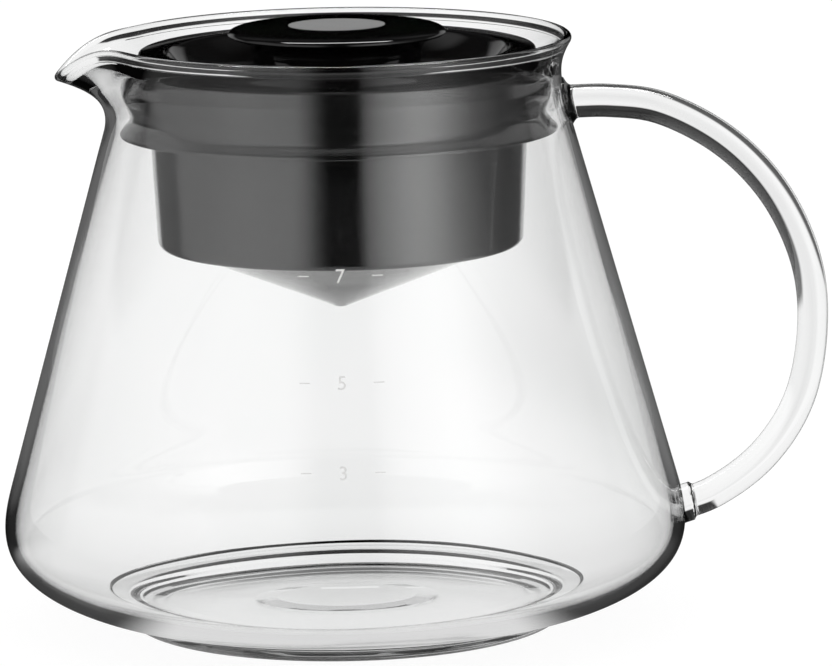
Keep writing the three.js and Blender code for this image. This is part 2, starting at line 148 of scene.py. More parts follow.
# Spout
SPOUT_REACH = 0.0102
SPOUT_DROOP = 0.0076
SPOUT_ROOT = RIM_HEIGHT - 0.0231
SPOUT_HALF_ANGLE = math.radians(32.7)
SPOUT_PLAN_POWER = 1.85
SPOUT_DROOP_POWER = 3.5
SPOUT_REACH_POWER = 2.3
SPOUT_FALL_POWER = 1.3

# Handle: girths by the share of the rod, and the loop as shares of its reach and of its height
ROD_GIRTHS = [(0, 0.00372), (0.35, 0.00366), (0.6, 0.0034), (1, 0.0036)]
ROD_SIDES = 64
ROD_STEPS = 720
SPLINE_STEPS = 60
LOOP_OUTERMOST = 0.1049
LOOP_TOP = RIM_HEIGHT - 0.0158
LOOP_BOTTOM = 0.025
LOOP_SHARES = [
    (-0.035, 1.003),
    (0.178, 1.004),
    (0.376, 0.985),
    (0.632, 0.897),
    (0.83, 0.769),
    (0.97, 0.598),
    (1, 0.432),
    (0.906, 0.247),
    (0.64, 0.11),
    (0.244, 0.021),
    (-0.059, -0.012),
]

# Welds of the handle, as (radius, depth, fillet), and the space that cuts the rod off in the wall
TOP_WELD = (0.0055, 0.0001, 0.0008)
FOOT_WELD = (0.0043, 0.002, 0.0004)
PROFILE_STEPS = 400
CORE_DEPTH = WALL * 0.4
CORE_STEPS = 40
CORE_SEGMENTS = 256
TOUCHING = 1e-6

# Cup of the lid
LID_SEGMENTS = 256
LID_WALL = 0.002
FIT_GAP = 0.0003
SEAT_STEP = 0.0002
SLEEVE_SEAT = COLLAR_RADIUS - SEAT_STEP
CUP_RADIUS = COLLAR_RADIUS - 0.0023
CUP_BOTTOM_RADIUS = CUP_RADIUS - 0.0011
COLLAR_FOOT = CUP_TOP - 0.0147
CUP_ROUND = 0.0035
MOUTH_RADIUS = CUP_BOTTOM_RADIUS - LID_WALL - 0.0015
LEDGE_TOP = CUP_BOTTOM + 0.002

# Deck
DECK_FLANGE = 0.0014
DECK_RIM_WIDTH = 0.006
DECK_RIM_ROUND = 0.0009
DECK_FLOOR = DECK_TOP - 0.0069
DECK_UNDERSIDE = DECK_FLOOR - 0.0016
DISH_EDGE = COLLAR_RADIUS - DECK_RIM_WIDTH
DISH_RADIUS = DISH_EDGE - 0.0044
DISH_ROUND = 0.0036
DISH_WALL = 0.0009
DISH_START = 0.0005
DISH_STEPS = 22
SKIRT_DEPTH = 0.0024
SKIRT_WALL = 0.0015
SEAT_RADIUS = 0.027
SEAT_WIDTH = 0.0012
SEAT_HEIGHT = 0.001
SLOT_COUNT = 6
SLOT_INNER = 0.0206
SLOT_OUTER = 0.0255
SLOT_MARGIN = 0.001
SLOT_STEPS = 16
SPOKE_ANGLE = math.radians(14)
GUIDE_BORE = 0.0031
GUIDE_RADIUS = 0.005
GUIDE_TOP = KNOB_TOP - 0.0069

# Sleeve round the lid's collar
SLEEVE_TOP = sleeve_high.z
SLEEVE_FOOT = sleeve_low.z
SLEEVE_STEPS = 40
LIP_RADIUS = sleeve_high.y
BELLY_RADIUS = LIP_RADIUS - 0.0014
SLEEVE_PINCH = 0.001
SLEEVE_TAPER = 0.0009
LIP_EDGE = 0.0009
LIP_RISE = 0.0006
PINCH_RISE = 0.0029
BELLY_SHARE = 0.51

# Drip cone
CONE_MOUTH = MOUTH_RADIUS - FIT_GAP
CONE_MOUTH_HEIGHT = CUP_BOTTOM + FIT_GAP
CONE_HEIGHT = 0.015
CONE_WALL = 0.0015
OUTLET_RADIUS = 0.001
CONE_FLANGE = 0.0016

# Knob
KNOB_RADIUS = knob_high.y
KNOB_LAND = 0.0108
KNOB_LAND_BORDER = 0.0003
KNOB_CROWN = 0.00035
KNOB_EDGE = (0.0035, 0.0015)
KNOB_LIP = 0.0004
KNOB_WALL = 0.0019
KNOB_SKIRT = 0.0185
KNOB_SKIRT_WALL = 0.0017
KNOB_FLARE = 0.0009
KNOB_NECK_DROP = 0.0036
KNOB_STEPS = 24
SOCKET_RADIUS = 0.0031
BOSS_WALL = 0.0018
BOSS_HEIGHT = 0.002

# Valve and spring
STEM_RADIUS = 0.0028
PLATE_THICKNESS = 0.0015
PLATE_FILLET = 0.0022
PLATE_ROUND = 0.0015
WIRE_RADIUS = 0.0005
WIRE_SIDES = 16
COIL_TURNS = 5.5
COIL_STEPS = 48

# Printed marks: height on the glass, from the foot, and the number
MARKS = [(0.0462, "3"), (0.0648, "5"), (0.0869, "7")]
MARK_CENTRE = 0.0005
MARK_HEIGHT = 0.003
NUMBER_STEPS = 8
DASH_NEAR = 0.0068
DASH_LENGTH = 0.0023
DASH_WIDTH = 0.00022
DASH_STEPS = 6
PRINT_LIFT = 0.00005

# Tints and roughness that each material varies between, over the middle of a noise
NOISE_RANGE = (0.3, 0.7)
GLASS_TINTS = ((0.985, 0.99, 0.988), (1, 1, 1))
SMOKE_TINTS = ((0.38, 0.38, 0.375), (0.43, 0.43, 0.425))
SMOKE_ROUGHNESS = (0.015, 0.03)
STEEL_TINTS = ((0.5, 0.51, 0.52), (0.66, 0.67, 0.68))
STEEL_ROUGHNESS = (0.22, 0.34)
PRINT_TINTS = ((0.62, 0.62, 0.61), (0.74, 0.74, 0.73))
PRINT_ROUGHNESS = (0.5, 0.65)
LID_TINTS = ((0.003, 0.003, 0.003), (0.005, 0.0048, 0.0048))
KNOB_TINTS = ((0.003, 0.003, 0.003), (0.0045, 0.0044, 0.0044))
STEM_TINTS = ((0.01, 0.01, 0.01), (0.014, 0.0135, 0.0135))
SILICONE_TINTS = ((0.005, 0.005, 0.005), (0.008, 0.0078, 0.0078))

# Studio in mirrored rays: strength by the angle from the camera's side, in degrees
STUDIO_STRENGTH = 3.0
STUDIO = [
    (-180, 0.14),
    (-150, 0.14),
    (-142, 0.02),
    (-118, 0.02),
    (-108, 0.45),
    (-90, 0.62),
    (-50, 0.88),
    (-22, 0.8),
    (-16, 0.5),
    (-9.5, 0.12),
    (-5, 0.01),
    (11, 0.01),
    (15, 0.45),
    (20, 0.8),
    (29, 1.2),
    (42, 1.6),
    (50, 1.55),
    (58, 1.2),
    (66, 0.82),
    (76, 0.42),
    (92, 0.17),
    (120, 0.03),
    (142, 0.03),
    (150, 0.2),
    (165, 0.12),
    (180, 0.05),
]

# Parts of a ray's direction between which the studio fades, and the glow that deep rays see at the back
STUDIO_HEIGHT = (0.62, 0.85)
STUDIO_INNER_HEIGHT = (0.7, 1.0)
STUDIO_BACK = (0.6, 0.9)
GLOW_WALLS = 3
GLOW_BACK = (0.1, 0.4)
GLOW_STRENGTH = 0.6

# Long lamp overhead
STRIP_LEAN = 0.25
STRIP_WIDTH = 0.11
STRIP_LENGTH = 0.5
STRIP_LOWEST = 0.5
STRIP_STRENGTH = 11.0

# Small pale patch at the back, which the knob mirrors
PATCH_SIDE = -0.011
PATCH_WIDTH = 0.0105
PATCH_RISE = 0.128
PATCH_HEIGHT = 0.012
PATCH_STRENGTH = 0.5

# Pale band low at the back, left and right of the middle
HORIZON_BACK = (0.3, 0.45)
HORIZON_ASIDE = (0.2, 0.35)
HORIZON_HEIGHT = (0.25, 0.35)
HORIZON_STRENGTH = 0.45

# What refracted rays see: nearly white, greyer to the right and dark above
BACKDROP = 0.94
BACKDROP_SIDE = 0.12
BACKDROP_TURN = (0.03, 0.2)
TABLE_LEAN = 0.3
TABLE_CAP = 0.19
TABLE_LEFT = 0.08
TABLE_LEFT_LEAN = 2.0
TABLE_EDGE = (0.03, 0.09)
ABOVE = 0.025

# Floor
FLOOR_RADIUS = 8
FLOOR_SIDES = 96
FLOOR_DROP = 0.0001
FLOOR_LIGHT = 0.93
FLOOR_GREY = (0.1, 0.1, 0.1, 1)

# Floor in mirrored rays, painted by place: painted light under the carafe, painted shade at its back and
# sides, the studio's light painted further out
TABLE_SHARE = 0.6
UNDER_REACH = (0.08, 0.14)
PAINTED_LIGHT_UNDER = 0.7
PAINTED_SHADE_UNDER = 0.05
UNDER_TURN = (0.02, 0.05)
UNDER_SIDE = (0.038, 0.054)
BACK_WALLS = 2
BACK_INSIDE = (0.82, 0.9)

# Floor in refracted rays: the backdrop's light painted on it by place, and a dark patch painted close
# behind the carafe
TABLE_VIEW = 0.08
TABLE_FAR = (0.15, 0.4)
DARK_PATCH_START = (0.035, 0.05)
DARK_PATCH_SIDE = (0.03, 0.085)
DARK_PATCH_REACH = (0.21, 0.06)
DARK_PATCH_BLUR = (0.85, 1.15)
DARK_PATCH_WALLS = 2

# Bounces of light, which the many walls of glass need
BOUNCES = 32
GLOSSY_BOUNCES = 12


# Curves and outlines


def bezier(points, shares):
    """Places on a Bezier curve, for shares from 0 at its start to 1 at its end."""
    shares = np.asarray(shares, float)[:, None]
    places = [np.asarray(p, float)[None, :] for p in points]
    while len(places) > 1:
        places = [a * (1 - shares) + b * shares for a, b in zip(places, places[1:])]
    return np.broadcast_to(places[0], (len(shares), 2))


def centripetal(points, steps):
    """Even places along a centripetal Catmull-Rom curve."""
    ends = [2 * points[0] - points[1], *points, 2 * points[-1] - points[-2]]
    dense = []
    for p0, p1, p2, p3 in zip(ends, ends[1:], ends[2:], ends[3:]):
        t1 = (p1 - p0).length ** 0.5
        t2 = t1 + (p2 - p1).length ** 0.5
        t3 = t2 + (p3 - p2).length ** 0.5
        for k in range(SPLINE_STEPS):
            t = t1 + (t2 - t1) * k / SPLINE_STEPS
            a1 = p0 * ((t1 - t) / t1) + p1 * (t / t1)
            a2 = p1 * ((t2 - t) / (t2 - t1)) + p2 * ((t - t1) / (t2 - t1))
            a3 = p2 * ((t3 - t) / (t3 - t2)) + p3 * ((t - t2) / (t3 - t2))
            b1 = a1 * ((t2 - t) / t2) + a2 * (t / t2)
            b2 = a2 * ((t3 - t) / (t3 - t1)) + a3 * ((t - t1) / (t3 - t1))
            dense.append(b1 * ((t2 - t) / (t2 - t1)) + b2 * ((t - t1) / (t2 - t1)))
    dense.append(points[-1])
    lengths = np.cumsum([0] + [(b - a).length for a, b in zip(dense, dense[1:])])
    wanted = np.linspace(0, lengths[-1], steps + 1)
    return [
        Vector([float(np.interp(w, lengths, [p[i] for p in dense])) for i in range(3)])
        for w in wanted
    ]


def rounded(corners, closed):
    """Replaces each corner (radius, height, round) by an arc of that round."""
    count = len(corners)
    outline = []
    for i, (r, z, size) in enumerate(corners):
        here = Vector((r, z))
        at_end = not closed and i in (0, count - 1)
        if size == SHARP or at_end:
            outline.append((r, z))
            continue
        before = Vector(corners[i - 1][:2]) - here
        after = Vector(corners[(i + 1) % count][:2]) - here
        opening = before.angle(after)
        if opening > STRAIGHT:
            outline.append((r, z))
            continue
        reach = size / math.tan(opening / 2)
        limit = SIDE_SHARE * min(before.length, after.length)
        if reach > limit:
            reach = limit
            size = reach * math.tan(opening / 2)
        bisector = (before.normalized() + after.normalized()).normalized()
        centre = here + bisector * (size / math.sin(opening / 2))
        start = here + before.normalized() * reach - centre
        end = here + after.normalized() * reach - centre
        sweep = start.angle_signed(end)
        steps = max(2, math.ceil(abs(sweep) / ARC_STEP))
        for k in range(steps + 1):
            turn = -sweep * k / steps
            outline.append(tuple(centre + Matrix.Rotation(turn, 2) @ start))
    return outline


def as_corners(places):
    """The places of a curve as corners of an outline."""
    return [(float(r), float(z), SHARP) for r, z in places]


# Meshes


def smooth(mesh, angle):
    """Shades a mesh smooth, except for edges above an angle in degrees."""
    mesh.shade_smooth()
    mesh.set_sharp_from_angle(angle=math.radians(angle))


def new_object(name, verts, faces, angle=EDGE_ANGLE):
    """An object in the scene, with its faces turned outward."""
    mesh = bpy.data.meshes.new(name)
    mesh.from_pydata(verts, [], faces)
    work = bmesh.new()
    work.from_mesh(mesh)
    bmesh.ops.recalc_face_normals(work, faces=work.faces)
    work.to_mesh(mesh)
    work.free()
    smooth(mesh, angle)
    piece = bpy.data.objects.new(name, mesh)
    bpy.context.scene.collection.objects.link(piece)
    return piece


def turned(name, outline, closed, segments=LID_SEGMENTS, angle=EDGE_ANGLE):
    """Revolves an outline about the carafe's axis. An open outline starts and ends on the axis."""
    verts, rings = [], []
    for r, z in outline:
        if r < ON_AXIS:
            rings.append([len(verts)] * segments)
            verts.append((AXIS_X, 0, z))
            continue
        rings.append(list(range(len(verts), len(verts) + segments)))
        for i in range(segments):
            turn = 2 * math.pi * i / segments
            verts.append((AXIS_X + r * math.cos(turn), r * math.sin(turn), z))
    bands = list(zip(rings, rings[1:]))
    if closed:
        bands.append((rings[-1], rings[0]))
    faces = []
    for low, high in bands:
        for i in range(segments):
            j = (i + 1) % segments
            corners = list(dict.fromkeys([low[i], low[j], high[j], high[i]]))
            if len(corners) > 2:
                faces.append(corners)
    return new_object(name, verts, faces, angle)


def swept(name, path, sides, radius_of, count):
    """A closed tube along a path, with a direction square to the path at each place.

    radius_of gives the radius for the share of the path, the place and the way out from it.
    """
    verts, faces = [], []
    for k, (place, side) in enumerate(zip(path, sides)):
        way = (path[min(k + 1, len(path) - 1)] - path[max(k - 1, 0)]).normalized()
        rise = way.cross(side)
        for i in range(count):
            turn = 2 * math.pi * i / count
            out = rise * math.cos(turn) + side * math.sin(turn)
            verts.append(place + out * radius_of(k / (len(path) - 1), place, out))
    for k in range(len(path) - 1):
        low, high = k * count, (k + 1) * count
        for i in range(count):
            j = (i + 1) % count
            faces.append((low + i, low + j, high + j, high + i))
    faces.append(tuple(range(count)))
    faces.append(tuple(range(len(verts) - count, len(verts))))
    return new_object(name, verts, faces, ROUND_ANGLE)


def combine(piece, other, operation):
    """Joins or cuts one closed mesh by another and keeps the result as the piece's own mesh."""
    step = piece.modifiers.new("combine", "BOOLEAN")
    step.operation = operation
    step.solver = "MANIFOLD"
    step.object = other
    graph = bpy.context.evaluated_depsgraph_get()
    result = bpy.data.meshes.new_from_object(piece.evaluated_get(graph))
    piece.modifiers.clear()
    piece.data = result
    bpy.data.objects.remove(other)
    return piece


# Glass body


def body_curves():
    """The outside of the wall as three curves: from the keel to the shoulder, the neck and the rim."""
    keel = Vector(KEEL)
    shoulder = Vector(SHOULDER)
    neck = Vector(NECK)
    rim = Vector((RIM_RADIUS, RIM_END))
    up = (neck - shoulder).normalized()
    keel_way = Vector((math.cos(KEEL_ANGLE), math.sin(KEEL_ANGLE)))
    rim_way = Vector((math.sin(RIM_FLARE), math.cos(RIM_FLARE)))
    return {
        "shoulder": [keel, keel + keel_way * KEEL_PULL, shoulder - up * SHOULDER_PULL, shoulder],
        "cone": [shoulder, neck],
        "neck": [neck, neck + up * NECK_PULL, rim - rim_way * RIM_PULL, rim],
    }


CURVES = body_curves()


def drawn_out(outline, turn):
    """Places on the outside of the glass for (radius, height) pairs, with the spout drawn out."""
    r, z = outline[:, 0:1], outline[:, 1:2]
    rise = np.clip((z - SPOUT_ROOT) / (RIM_END - SPOUT_ROOT), 0, 1)
    off = np.abs(turn % (2 * math.pi) - math.pi)
    bump = np.where(off < SPOUT_HALF_ANGLE, 0.5 + 0.5 * np.cos(np.pi * off / SPOUT_HALF_ANGLE), 0)
    reach = r + SPOUT_REACH * bump**SPOUT_PLAN_POWER * rise**SPOUT_REACH_POWER
    fall = SPOUT_DROOP * bump**SPOUT_DROOP_POWER * rise**SPOUT_FALL_POWER
    return np.stack([reach * np.cos(turn), reach * np.sin(turn), z - fall], axis=-1)


def wall_grid(curve, shares, along, upward, turn):
    """Places on the wall: on its outer face, moved along the normal and up the tangent."""
    near = 1e-3
    shares = np.asarray(shares, float)
    here = drawn_out(bezier(CURVES[curve], shares), turn)
    above = drawn_out(bezier(CURVES[curve], np.clip(shares + near, 0, 1)), turn)
    below = drawn_out(bezier(CURVES[curve], np.clip(shares - near, 0, 1)), turn)
    left = drawn_out(bezier(CURVES[curve], shares), turn + near)
    right = drawn_out(bezier(CURVES[curve], shares), turn - near)
    tangent = above - below
    tangent /= np.linalg.norm(tangent, axis=-1, keepdims=True)
    normal = np.cross(left - right, tangent)
    normal /= np.linalg.norm(normal, axis=-1, keepdims=True)
    return here + normal * along[..., None] + tangent * upward[..., None]


def wall_thickness(places, turn):
    """Blown glass is a little uneven, round the carafe and up it."""
    height = places[:, 1:2] / RIM_HEIGHT
    waves = sum(share * np.sin(across * turn + up * height + start) for across, up, share, start in WAVES)
    return WALL + WAVE_DEPTH * waves


def inner_wall(curve, shares, turn):
    """The inside of one curve of the wall. The neck's ends thin, below the bead of the rim."""
    if curve == "neck":
        shares = shares * (1 - LIP_DEPTH / RIM_SPEED)
    wall = wall_thickness(bezier(CURVES[curve], shares), turn)
    if curve == "neck":
        thinned = np.clip((shares - LIP_SHARE) / (shares[-1] - LIP_SHARE), 0, 1)[:, None] ** LIP_THINNING
        wall = wall * (1 - thinned) + LIP_WAIST * thinned
    return wall_grid(curve, shares, -wall, 0 * wall, turn)


def wall_rows(turn):
    """Rows of places up the outside and up the inside of the wall, in a part for each curve."""
    outer, inner = [], []
    for curve, steps in CURVE_STEPS.items():
        shares = np.linspace(0, 1, steps)
        if curve != "shoulder":
            shares = shares[1:]
        flat = np.zeros((len(shares), GLASS_SEGMENTS))
        outer.append(wall_grid(curve, shares, flat, flat, turn))
        inner.append(inner_wall(curve, shares, turn))
    return outer, inner


def lip_outline():
    """Depth into the glass and rise along it, over the bead and down to the thin place under it."""
    outline = []
    for i in range(1, LIP_BEAD_STEPS + 1):
        angle = (math.pi + LIP_TURN) * i / LIP_BEAD_STEPS
        outline.append((RIM_BEAD * (1 - math.cos(angle)), RIM_BEAD * math.sin(angle)))
    depth, rise = outline[-1]
    flank = [
        (depth, rise),
        (depth - LIP_PULL, rise - LIP_PULL),
        (LIP_WAIST, LIP_PULL - LIP_DEPTH),
        (LIP_WAIST, -LIP_DEPTH),
    ]
    outline += [tuple(place) for place in bezier(flank, np.linspace(0, 1, LIP_FLANK_STEPS))[1:-1]]
    return outline


def lip_rows(turn):
    """The bead round the rim and spout."""
    flat = np.zeros((1, GLASS_SEGMENTS))
    return [wall_grid("neck", [1.0], flat - depth, flat + rise, turn) for depth, rise in lip_outline()]


def foot_outline():
    """The underside, from the axis out to the keel, where the wall starts."""
    foot_inner = FOOT_RADIUS - FOOT_WIDTH
    corners = [
        (0, RECESS, SHARP),
        (RECESS_EDGE, RECESS, RECESS_ROUND),
        (foot_inner + FOOT_ROUND, 0, RECESS_ROUND),
        (FOOT_RADIUS, 0, FOOT_EDGE_ROUND),
        (FOOT_RADIUS + FOOT_ROUND / 2, FOOT_STEP, KEEL_ROUND),
        (*KEEL, SHARP),
    ]
    return rounded(corners, False)[:-1]


def floor_outline():
    """The inside of the floor, from the wall in to the axis."""
    wall_end = (KEEL[0] + WALL * math.sin(KEEL_ANGLE), KEEL[1] + WALL * math.cos(KEEL_ANGLE), SHARP)
    corners = [wall_end, RIDGE, GROOVE, STEP_TOP, STEP_FOOT, PAD_FOOT, PAD_EDGE, (0, PAD_TOP, SHARP)]
    return rounded(corners, False)[1:]


def turned_rows(outline, turn):
    """Rows of places of an outline that goes round evenly."""
    places = np.asarray(outline, float)
    r, z = places[:, 0:1], places[:, 1:2]
    return np.stack([r * np.cos(turn), r * np.sin(turn), z + 0 * turn], axis=-1)


def skin_faces(rows):
    """Faces over rows of places, of which the first and the last are single points on the axis."""
    top = 1 + (rows - 2) * GLASS_SEGMENTS
    faces = []
    for row in range(rows - 1):
        low = 1 + (row - 1) * GLASS_SEGMENTS
        high = low + GLASS_SEGMENTS
        for i in range(GLASS_SEGMENTS):
            j = (i + 1) % GLASS_SEGMENTS
            if row == 0:
                faces.append((0, high + j, high + i))
            elif row == rows - 2:
                faces.append((low + i, low + j, top))
            else:
                faces.append((low + i, low + j, high + j, high + i))
    return faces


def glass_body():
    """The vessel as one closed skin: foot, outside, rim, inside and floor."""
    turn = (2 * math.pi * np.arange(GLASS_SEGMENTS) / GLASS_SEGMENTS)[None, :]
    outer, inner = wall_rows(turn)
    foot = turned_rows(foot_outline(), turn)
    floor = turned_rows(floor_outline(), turn)
    downward = [part[::-1] for part in inner[::-1]]
    grid = np.concatenate([foot, *outer, *lip_rows(turn), *downward, floor])
    verts = [(AXIS_X, 0, RECESS)]
    verts += [(AXIS_X + x, y, z) for x, y, z in grid[1:-1].reshape(-1, 3)]
    verts.append((AXIS_X, 0, PAD_TOP))
    return new_object("glass_vessel", verts, skin_faces(len(grid)), ROUND_ANGLE)


# Glass handle


def wall_profile():
    shares = np.linspace(0, 1, PROFILE_STEPS)
    return np.concatenate([bezier(CURVES[curve], shares) for curve in CURVES])


PROFILE = wall_profile()


def radius_at(height):
    """Radius of the outside of the glass at a height, away from the spout."""
    return float(np.interp(height, PROFILE[:, 1], PROFILE[:, 0]))


def lean_at(height):
    """Angle of the wall from upright at a height."""
    near = 0.001
    return math.atan2(radius_at(height - near) - radius_at(height + near), 2 * near)


def loop_path():
    """Middle line of the handle's rod."""
    top = radius_at(LOOP_TOP)
    bottom = radius_at(LOOP_BOTTOM)
    points = []
    for across, up in LOOP_SHARES:
        weld_line = bottom + (top - bottom) * up
        x = weld_line + across * (LOOP_OUTERMOST - weld_line)
        points.append(Vector((AXIS_X + x, 0, LOOP_BOTTOM + up * (LOOP_TOP - LOOP_BOTTOM))))
    return centripetal(points, ROD_STEPS)


def flare(girth, distance, weld):
    """Radius of a rod at a distance from the wall, for a weld of (radius, depth, fillet)."""
    radius, depth, fillet = weld
    ease = min(1, max(0, (distance - depth) / (2 * fillet)))
    return girth + (radius - girth) * (1 - ease) ** 2


def glass_loop():
    path = loop_path()
    middle = (LOOP_TOP + LOOP_BOTTOM) / 2
    leans = {TOP_WELD: lean_at(LOOP_TOP), FOOT_WELD: lean_at(LOOP_BOTTOM)}

    def radius_of(share, place, out):
        girth = float(np.interp(share, *zip(*ROD_GIRTHS)))
        face = place + out * girth
        gap = math.hypot(face.x - AXIS_X, face.y) - radius_at(face.z)
        weld = TOP_WELD if place.z > middle else FOOT_WELD
        return flare(girth, max(0, gap * math.cos(leans[weld])), weld)

    return swept("glass_loop", path, [Vector((0, 1, 0))] * len(path), radius_of, ROD_SIDES)


def glass_core():
    """The space inside the middle of the wall, which cuts the rod off before it reaches the coffee."""
    shares = np.linspace(0, 1, CORE_STEPS)
    places = [tuple(p) for curve in CURVES for p in bezier(CURVES[curve], shares)]
    outline = [(0, places[0][1])]
    for radius, height in places:
        place = (radius - CORE_DEPTH, height)
        if math.dist(place, outline[-1]) > TOUCHING:
            outline.append(place)
    outline.append((0, places[-1][1]))
    return turned("glass_core", outline, False, CORE_SEGMENTS)


def vessel_with_handle():
    """Vessel and handle as one piece, since light passes through them as through one glass."""
    vessel = glass_body()
    loop = combine(glass_loop(), glass_core(), "DIFFERENCE")
    combine(vessel, loop, "UNION")
    smooth(vessel.data, GLASS_ANGLE)
    return vessel


# Lid


def lid_cup():
    outline = [
        (MOUTH_RADIUS, CUP_BOTTOM, CRISP),
        (CUP_BOTTOM_RADIUS, CUP_BOTTOM, CUP_ROUND),
        (CUP_RADIUS, COLLAR_FOOT - FIT_GAP, FINE),
        (CUP_RADIUS + FIT_GAP, COLLAR_FOOT, SHARP),
        (SLEEVE_SEAT, COLLAR_FOOT, CRISP),
        (SLEEVE_SEAT, SLEEVE_TOP + FIT_GAP, SHARP),
        (COLLAR_RADIUS, SLEEVE_TOP + FIT_GAP + SEAT_STEP, FAINT),
        (COLLAR_RADIUS, CUP_TOP, HAIR),
        (COLLAR_RADIUS - LID_WALL, CUP_TOP, CRISP),
        (COLLAR_RADIUS - LID_WALL, COLLAR_FOOT + LID_WALL / 2, SOFT),
        (CUP_RADIUS - LID_WALL, COLLAR_FOOT - LID_WALL / 2, SOFT),
        (CUP_BOTTOM_RADIUS - LID_WALL, LEDGE_TOP, SMALL),
        (MOUTH_RADIUS, LEDGE_TOP, CRISP),
    ]
    return turned("cup", rounded(outline, True), True)


def flow_slot(turn):
    """A curved block that cuts one of the slots between the spokes."""
    half = math.pi / SLOT_COUNT - SPOKE_ANGLE / 2
    low = DECK_UNDERSIDE - SLOT_MARGIN
    high = DECK_FLOOR + SLOT_MARGIN
    section = [(SLOT_INNER, low), (SLOT_OUTER, low), (SLOT_OUTER, high), (SLOT_INNER, high)]
    count = len(section)
    verts, faces = [], []
    for k in range(SLOT_STEPS + 1):
        angle = turn - half + 2 * half * k / SLOT_STEPS
        verts += [(AXIS_X + r * math.cos(angle), r * math.sin(angle), z) for r, z in section]
    for k in range(SLOT_STEPS):
        here, ahead = count * k, count * (k + 1)
        for i in range(count):
            j = (i + 1) % count
            faces.append((here + i, here + j, ahead + j, ahead + i))
    faces.append(tuple(range(count)))
    faces.append(tuple(range(len(verts) - count, len(verts))))
    return new_object("flow_slot", verts, faces)


def deck_outline():
    skirt = COLLAR_RADIUS - LID_WALL - FIT_GAP
    flange_foot = DECK_TOP - DECK_FLANGE
    skirt_foot = flange_foot - SKIRT_DEPTH
    seat_inner = SEAT_RADIUS - SEAT_WIDTH / 2
    seat_outer = SEAT_RADIUS + SEAT_WIDTH / 2
    seat_foot = DECK_UNDERSIDE - SEAT_HEIGHT
    dish = [
        (DISH_EDGE - DISH_START, DECK_TOP - DISH_START),
        (DISH_RADIUS, DECK_FLOOR),
        (DISH_RADIUS - DISH_ROUND, DECK_FLOOR),
    ]
    return [
        (GUIDE_BORE, DECK_UNDERSIDE, FINE),
        (seat_inner, DECK_UNDERSIDE, SHARP),
        (seat_inner, seat_foot, CRISP),
        (seat_outer, seat_foot, CRISP),
        (seat_outer, DECK_UNDERSIDE, SHARP),
        (DISH_RADIUS, DECK_UNDERSIDE, SOFT),
        (DISH_EDGE + DISH_WALL, flange_foot, FULL),
        (skirt - SKIRT_WALL, flange_foot, CRISP),
        (skirt - SKIRT_WALL, skirt_foot, CRISP),
        (skirt, skirt_foot, CRISP),
        (skirt, flange_foot, FAINT),
        (COLLAR_RADIUS, flange_foot, HAIR),
        (COLLAR_RADIUS, DECK_TOP, EASY),
        (DISH_EDGE, DECK_TOP, DECK_RIM_ROUND),
        *as_corners(bezier(dish, np.linspace(0, 1, DISH_STEPS))),
        (GUIDE_RADIUS, DECK_FLOOR, SMALL),
        (GUIDE_RADIUS, GUIDE_TOP, CRISP),
        (GUIDE_BORE, GUIDE_TOP, FINE),
    ]


def lid_deck():
    deck = turned("deck", rounded(deck_outline(), True), True)
    for i in range(SLOT_COUNT):
        combine(deck, flow_slot(2 * math.pi * (i + 0.5) / SLOT_COUNT), "DIFFERENCE")
    smooth(deck.data, EDGE_ANGLE)
    return deck


def neck_sleeve():
    bore = SLEEVE_SEAT + FIT_GAP
    foot_bore = CUP_RADIUS + FIT_GAP
    foot_top = COLLAR_FOOT - FIT_GAP
    tip = SLEEVE_FOOT + LIP_RISE
    pinch = tip + PINCH_RISE
    belly = pinch + BELLY_SHARE * (SLEEVE_TOP - pinch)
    through = [
        (LIP_RADIUS, tip),
        (BELLY_RADIUS - SLEEVE_PINCH, pinch),
        (BELLY_RADIUS, belly),
        (BELLY_RADIUS - SLEEVE_TAPER, SLEEVE_TOP),
    ]
    side = centripetal([Vector((r, 0, z)) for r, z in through], SLEEVE_STEPS)
    outline = [
        (foot_bore, SLEEVE_FOOT, FINE),
        (BELLY_RADIUS - SLEEVE_PINCH, SLEEVE_FOOT, FULL),
        (LIP_RADIUS, tip - LIP_EDGE, BLUNT),
        *as_corners([(p.x, p.z) for p in side[:-1]]),
        (BELLY_RADIUS - SLEEVE_TAPER, SLEEVE_TOP, FULL),
        (bore, SLEEVE_TOP, BLUNT),
        (bore, foot_top, FINE),
        (foot_bore, foot_top, FINE),
    ]
    return turned("sleeve", rounded(outline, True), True)


def drip_cone():
    apex = CONE_MOUTH_HEIGHT - CONE_HEIGHT
    slope = CONE_HEIGHT / CONE_MOUTH
    flange_foot = LEDGE_TOP + FIT_GAP
    flange_top = flange_foot + CONE_FLANGE
    flange_radius = CUP_BOTTOM_RADIUS - LID_WALL - FIT_GAP
    inner = CONE_MOUTH - CONE_WALL
    rise = CONE_WALL * math.hypot(1, slope)
    outline = [
        (OUTLET_RADIUS, apex + OUTLET_RADIUS * slope, CRISP),
        (CONE_MOUTH, CONE_MOUTH_HEIGHT, BLUNT),
        (CONE_MOUTH, flange_foot, FINE),
        (flange_radius, flange_foot, FINE),
        (flange_radius, flange_top, CRISP),
        (inner, flange_top, EASY),
        (inner, apex + inner * slope + rise, SOFT),
        (OUTLET_RADIUS, apex + OUTLET_RADIUS * slope + rise, CRISP),
    ]
    return turned("cone", rounded(outline, True), True)


def press_spring():
    coil = coil_high.y - WIRE_RADIUS
    foot = coil_low.z + WIRE_RADIUS
    height = coil_high.z - WIRE_RADIUS - foot
    steps = round(COIL_TURNS * COIL_STEPS)
    path, sides = [], []
    for k in range(steps + 1):
        turn = 2 * math.pi * COIL_TURNS * k / steps
        out = Vector((math.cos(turn), math.sin(turn), 0))
        path.append(Vector((AXIS_X, 0, foot + height * k / steps)) + out * coil)
        sides.append(out)
    return swept("spring", path, sides, lambda *_: WIRE_RADIUS, WIRE_SIDES)


# Valve


